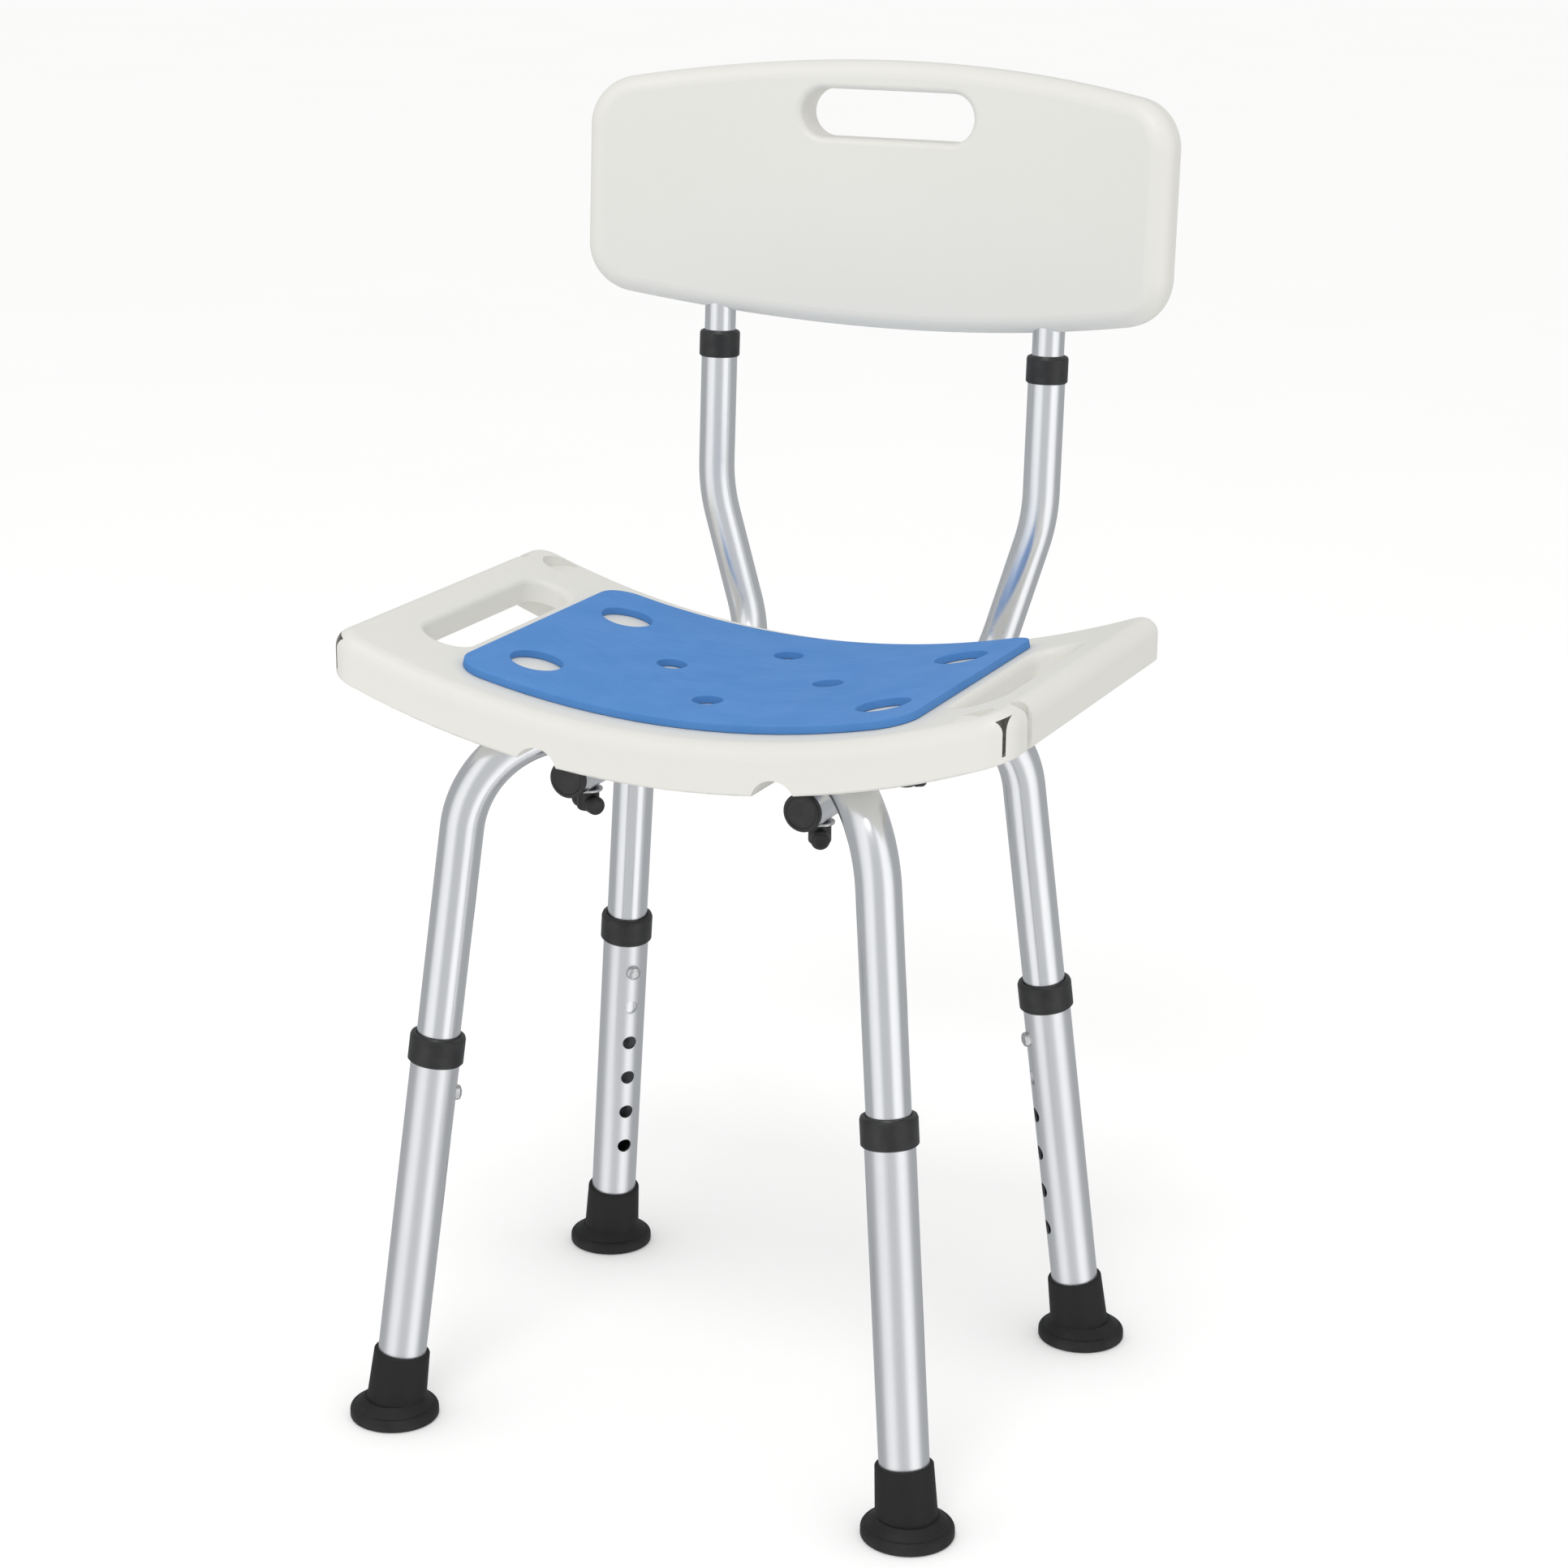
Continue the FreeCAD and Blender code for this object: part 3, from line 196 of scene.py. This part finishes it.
# %% Aluminium finish
ALUMINIUM = (0.80, 0.81, 0.82)
ALUMINIUM_DULL = (0.72, 0.73, 0.75)
STREAK_SIZE = 0.9 * MM
STREAK_STRETCH = 0.03


def satin_aluminium(name, turn, dullness):
    tube = Finish("satin_aluminium_" + name)
    along = tube.stretched((1, 1, STREAK_STRETCH), turn)
    streak = tube.noise(STREAK_SIZE, 3, along)
    grain = tube.noise(0.45 * MM, 2)
    handled = tube.noise(45 * MM, 3)
    colour = tube.blend(streak * 0.4 + handled * 0.6, ALUMINIUM, ALUMINIUM_DULL)
    roughness = dullness + grain * 0.08 + handled * 0.06
    return tube.shade(Base_Color=colour, Metallic=1.0, Roughness=roughness,
                      Normal=tube.bump(streak * 0.5 + grain * 0.5, 0.012 * MM))


# %% [markdown]
# ## Black plastic, rubber and the small metal parts
# The collars, plugs and knobs are moulded in one black plastic with a fine matt grain. The feet are
# rubber: greyer, rougher, and a little dusty low down. Buttons, springs, washers and studs are plain
# steel, and the threaded inserts hidden in the seat are brass.

# %% Black plastic and rubber finishes
BLACK = (0.010, 0.010, 0.0105)
BLACK_WORN = (0.02, 0.02, 0.0205)
RUBBER = (0.009, 0.009, 0.0095)
RUBBER_DUSTY = (0.024, 0.0235, 0.0225)


def black_plastic():
    grip = Finish("black_plastic")
    grain = grip.noise(0.6 * MM, 3)
    patch = grip.noise(9 * MM, 2)
    colour = grip.blend(grip.step(patch * 0.7 + grain * 0.3, 0.4, 0.7), BLACK, BLACK_WORN)
    return grip.shade(Base_Color=colour, Roughness=0.36 + grain * 0.16, Normal=grip.bump(grain, 0.04 * MM))


def foot_rubber():
    rubber = Finish("foot_rubber")
    grain = rubber.noise(0.8 * MM, 4)
    patch = rubber.noise(14 * MM, 3)
    height = rubber.node("ShaderNodeSeparateXYZ", None, {"Vector": rubber.place}, output="Z")
    dust = rubber.step(patch + (12 * MM - height) * 18, 0.45, 0.95)
    colour = rubber.blend(dust * 0.8, RUBBER, RUBBER_DUSTY)
    return rubber.shade(Base_Color=colour, Roughness=0.56 + grain * 0.2, Specular_IOR_Level=0.35,
                        Normal=rubber.bump(grain * 0.6 + patch * 0.4, 0.06 * MM))


# %% Steel and brass finishes
STEEL = (0.62, 0.62, 0.63)
BRASS = (0.72, 0.55, 0.28)


def small_metal(name, colour, dull):
    metal = Finish(name)
    scratch = metal.noise(0.5 * MM, 4)
    patch = metal.noise(5 * MM, 2)
    worn = tuple(part * dull for part in colour)
    return metal.shade(Base_Color=metal.blend(patch, colour, worn), Metallic=1.0,
                       Roughness=0.2 + scratch * 0.18, Normal=metal.bump(scratch, 0.01 * MM))


finishes = {
    "white_plastic": plastic,
    "black_plastic": black_plastic(),
    "foot_rubber": foot_rubber(),
    "steel": small_metal("plain_steel", STEEL, 0.85),
    "brass": small_metal("machined_brass", BRASS, 0.8),
}
print("finishes:", sorted(finishes))

# %% [markdown]
# ## Dressing the CAD parts
# The record says which material each part has. Straight tubes get an aluminium of their own, turned
# to their lean: the slide axis of each leg, or of the backrest for its posts, says how far to turn the
# pattern so that the tube stands upright in it. The bent tubes share one aluminium whose pattern is not turned.


# %% Give every part its finish
def upright_turn(axis):
    """Angles that turn a tube's axis upright."""
    turn = Vector(axis).rotation_difference(Vector((0, 0, 1)))
    return tuple(turn.to_euler("XYZ"))


AXES = {joint["child"]: joint["axis"] for joint in frame["joints"]}
STRAIGHT_TUBES = {"leg_tube_" + body[4:]: axis for body, axis in AXES.items() if body.startswith("leg_")}
STRAIGHT_TUBES["backrest_post_left"] = STRAIGHT_TUBES["backrest_post_right"] = AXES["backrest"]
BRIGHT, SATIN = 0.16, 0.27
bent_tube = satin_aluminium("bent", (0, 0, 0), BRIGHT)


def dress(node, finish):
    NODES[node].data.materials.clear()
    NODES[node].data.materials.append(finish)


for part in frame["record"]["subparts"]:
    node, slot = part["node"], part["material_slot"]
    if node in STRAIGHT_TUBES:
        dullness = SATIN if node.startswith("leg") else BRIGHT
        dress(node, satin_aluminium(node, upright_turn(STRAIGHT_TUBES[node]), dullness))
    elif slot == "tube_aluminium":
        dress(node, bent_tube)
    elif slot in finishes:
        dress(node, finishes[slot])

# %% [markdown]
# ## The foam pad
# The pad is one sheet of closed-cell foam, four or five millimetres thick, die-cut and glued down. The
# knife leaves a crisp plan: round corners, four large drain holes and four small ones. Pressing rounds
# its upper edges. We cut a flat slab first, where round holes are easy, round its edges with a bevel,
# and bend it to the seat last. A cloth simulation would puff it up like a cushion, which foam isn't.

# %% Sizes of the pad
low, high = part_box("pad")
PAD_WIDTH, PAD_DEPTH = high.x - low.x, high.y - low.y
PAD_MIDDLE = (low.y + high.y) / 2
PAD_THICK = 4.5 * MM
PAD_CORNER = 18 * MM
PAD_EDGE = 1.6 * MM
CORNER_STEPS, EDGE_STEPS, STRIPS = 10, 4, 46
SEAT_CURVE = 545 * MM
BIG_HOLE, BIG_OUT, BIG_BACK = 15.5 * MM, 109 * MM, 57 * MM
DOT, DOT_OUT, DOT_BACK = 9 * MM, 50 * MM, 55 * MM
print("pad: %.0f x %.0f mm" % (PAD_WIDTH / MM, PAD_DEPTH / MM))


# %% Choosing what an operator works on
def only(thing):
    """Selects one object and makes it the active one."""
    bpy.ops.object.select_all(action="DESELECT")
    thing.select_set(True)
    bpy.context.view_layer.objects.active = thing


def finish_modifiers(thing):
    only(thing)
    for modifier in list(thing.modifiers):
        bpy.ops.object.modifier_apply(modifier=modifier.name)


# %% A flat slab with round corners
bpy.ops.object.select_all(action="DESELECT")
bpy.ops.mesh.primitive_plane_add(size=1, location=(0, 0, 0))
pad = bpy.context.object
pad.name = "foam_pad"
bpy.ops.object.mode_set(mode="EDIT")
bpy.ops.transform.resize(value=(PAD_WIDTH, PAD_DEPTH, 1))
bpy.ops.mesh.bevel(offset=PAD_CORNER, segments=CORNER_STEPS, affect="VERTICES")
bpy.ops.mesh.extrude_region_move(TRANSFORM_OT_translate={"value": (0, 0, PAD_THICK)})
bpy.ops.object.mode_set(mode="OBJECT")

# %% Punch the holes
holes = [(sx * BIG_OUT, sy * BIG_BACK, BIG_HOLE) for sx in (-1, 1) for sy in (-1, 1)]
holes += [(-DOT_OUT, 0, DOT), (DOT_OUT, 0, DOT), (0, -DOT_BACK, DOT), (0, DOT_BACK, DOT)]
for x, y, radius in holes:
    bpy.ops.object.select_all(action="DESELECT")
    bpy.ops.mesh.primitive_cylinder_add(vertices=72, radius=radius, depth=PAD_THICK * 4, location=(x, y, 0))
    punch = bpy.context.object
    hole = pad.modifiers.new("hole", "BOOLEAN")
    hole.operation, hole.object, hole.solver = "DIFFERENCE", punch, "EXACT"
    finish_modifiers(pad)
    bpy.data.objects.remove(punch)
print("holes punched:", len(holes))

# %% Round the edges, cut it into strips and bend it
edge = pad.modifiers.new("pressed_edge", "BEVEL")
edge.width, edge.segments, edge.limit_method = PAD_EDGE, EDGE_STEPS, "ANGLE"
edge.angle_limit = math.radians(50)
finish_modifiers(pad)
bpy.ops.object.mode_set(mode="EDIT")
for number in range(1, STRIPS):
    x = PAD_WIDTH * (number / STRIPS - 0.5)
    bpy.ops.mesh.select_all(action="SELECT")
    bpy.ops.mesh.bisect(plane_co=(x, 0, 0), plane_no=(1, 0, 0))
bpy.ops.object.mode_set(mode="OBJECT")
for vertex in pad.data.vertices:
    angle = math.asin(vertex.co.x / SEAT_CURVE)
    reach = SEAT_CURVE - vertex.co.z
    vertex.co.x = reach * math.sin(angle)
    vertex.co.y += PAD_MIDDLE
    vertex.co.z = low.z + SEAT_CURVE - reach * math.cos(angle)
only(pad)
bpy.ops.object.shade_smooth_by_angle(angle=math.radians(40))
print("pad faces:", len(pad.data.polygons))

# %% [markdown]
# Foam skin is matt with tiny closed cells, and the sheet's colour shows slow mottling. The cells are a
# Voronoi pattern under a millimetre across. The reflection is weak and very rough, because the cut cells
# swallow most of it.

# %% Foam finish
FOAM = (0.072, 0.232, 0.560)
FOAM_PALE = (0.090, 0.255, 0.595)
CELL = 0.9 * MM


def blue_foam():
    foam = Finish("blue_foam")
    cells = foam.node("ShaderNodeTexVoronoi", {"feature": "F1"}, {"Vector": foam.place, "Scale": 1 / CELL})
    grain = foam.noise(0.7 * MM, 3)
    mottle = foam.noise(26 * MM, 4)
    pressed = foam.noise(3 * MM, 3, foam.stretched((0.12, 1, 1)))
    colour = foam.blend(foam.step(mottle * 0.6 + pressed * 0.4, 0.3, 0.7), FOAM, FOAM_PALE)
    height = cells * 0.5 + grain * 0.5 + pressed * 0.5
    return foam.shade(Base_Color=colour, Roughness=0.68 + grain * 0.2, Specular_IOR_Level=0.3,
                      Normal=foam.bump(height, 0.05 * MM))


pad.data.materials.append(blue_foam())
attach(pad, "frame")
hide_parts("pad")

# %% [markdown]
# ## Floor, light and camera
# The chair stands on a pale floor in a pale room, which lights it softly from all sides. One wide lamp,
# high in front, gives it shape. The floor glows a very little, so that it melts into the white behind.

# %% Floor
FLOOR_GLOW = 0.09
FLOOR_TONE, FLOOR_PALE = (0.95, 0.95, 0.95), (0.97, 0.97, 0.97)
bpy.ops.object.select_all(action="DESELECT")
bpy.ops.mesh.primitive_plane_add(size=60, location=(0, 0, 0))
floor = bpy.context.object
floor.name = "floor"
pale = Finish("pale_floor")
paper = pale.blend(pale.noise(0.4, 2), FLOOR_TONE, FLOOR_PALE)
floor.data.materials.append(pale.shade(Base_Color=paper, Roughness=1.0, Specular_IOR_Level=0.0,
                                       Emission_Color=(1, 1, 1, 1), Emission_Strength=FLOOR_GLOW))


# %% The lamp
KEY_SPOT, KEY_TARGET = Vector((0.3, -1.6, 3.0)), Vector((0, 0, 0.35))
KEY_SIZE, KEY_POWER = 1.0, 19
bpy.ops.object.light_add(type="AREA", location=KEY_SPOT)
key = bpy.context.object
key.name = "key_lamp"
key.data.shape, key.data.size, key.data.energy = "DISK", KEY_SIZE, KEY_POWER
key.rotation_euler = (KEY_TARGET - KEY_SPOT).to_track_quat("-Z", "Y").to_euler()

# %% [markdown]
# The metal mirrors a studio: two tall soft boxes stand left and right of the lens, it is dimmer
# between them, and dark past them. The room below gives mirror rays that pattern and everything else an
# even pale light. The floor stays out of the mirror rays, because a
# tube seen from above would show nothing but floor.


# %% The room that the metal mirrors
class Room(Finish):
    """The world's own node tree, built like a finish."""

    def __init__(self, world):
        world.use_nodes = True
        self.tree = world.node_tree
        self.tree.nodes.clear()
        self.place = self.node("ShaderNodeTexCoord", output="Generated")

    def light(self, glow):
        shine = self.node("ShaderNodeBackground", None, {"Color": glow, "Strength": 1.0})
        out = self.tree.nodes.new("ShaderNodeOutputWorld")
        self.tree.links.new(shine.socket, out.inputs["Surface"])

    def band(self, heading, narrow, wide):
        """1 within `narrow` degrees of a compass heading round the chair, 0 beyond `wide` degrees."""
        turn = math.radians(heading)
        way = Vector((math.sin(turn), -math.cos(turn), 0))
        flat = self.node("ShaderNodeVectorMath", {"operation": "MULTIPLY"}, {0: self.place, 1: (1, 1, 0)})
        level = self.node("ShaderNodeVectorMath", {"operation": "NORMALIZE"}, {0: flat})
        match = self.node("ShaderNodeVectorMath", {"operation": "DOT_PRODUCT"}, {0: level, 1: way}, "Value")
        return self.step(match, math.cos(math.radians(wide)), math.cos(math.radians(narrow)))


LENS_HEADING = 26
LEFT_BOX, RIGHT_BOX = -54, 50
ROOM_PALE = (0.90, 0.90, 0.895)
MIRROR_DARK = (0.47, 0.48, 0.495)
MIRROR_BRIGHT = (1.5, 1.5, 1.5)
world = bpy.data.worlds.new("room")
bpy.context.scene.world = world
room = Room(world)
left_box = room.band(LENS_HEADING + LEFT_BOX, 8, 36)
right_box = room.band(LENS_HEADING + RIGHT_BOX, 8, 34)
between = room.band(LENS_HEADING, 5, 80)
mirrored = room.blend(left_box * 0.5 + right_box * 0.62 + between * 0.2, MIRROR_DARK, MIRROR_BRIGHT)
is_mirror_ray = room.node("ShaderNodeLightPath", output="Is Glossy Ray")
is_camera_ray = room.node("ShaderNodeLightPath", output="Is Camera Ray")
room.light(room.blend(is_camera_ray, room.blend(is_mirror_ray, ROOM_PALE, mirrored), (1, 1, 1)))
floor.visible_glossy = False

# %% Camera
bpy.context.scene.view_settings.view_transform = "Standard"
VIEW_SPOT = Vector((0.81988, -1.77128, 0.95797))
VIEW_TARGET = Vector((-0.0506, 0.0054, 0.3622))
LENS, SENSOR, SHIFT = 79.43, 36, 0.0571
camera_data = bpy.data.cameras.new("camera")
camera_data.lens, camera_data.sensor_width, camera_data.shift_x = LENS, SENSOR, SHIFT
camera = bpy.data.objects.new("camera", camera_data)
bpy.context.scene.collection.objects.link(camera)
camera.location = VIEW_SPOT
camera.rotation_euler = (VIEW_TARGET - VIEW_SPOT).to_track_quat("-Z", "Y").to_euler()
bpy.context.scene.camera = camera
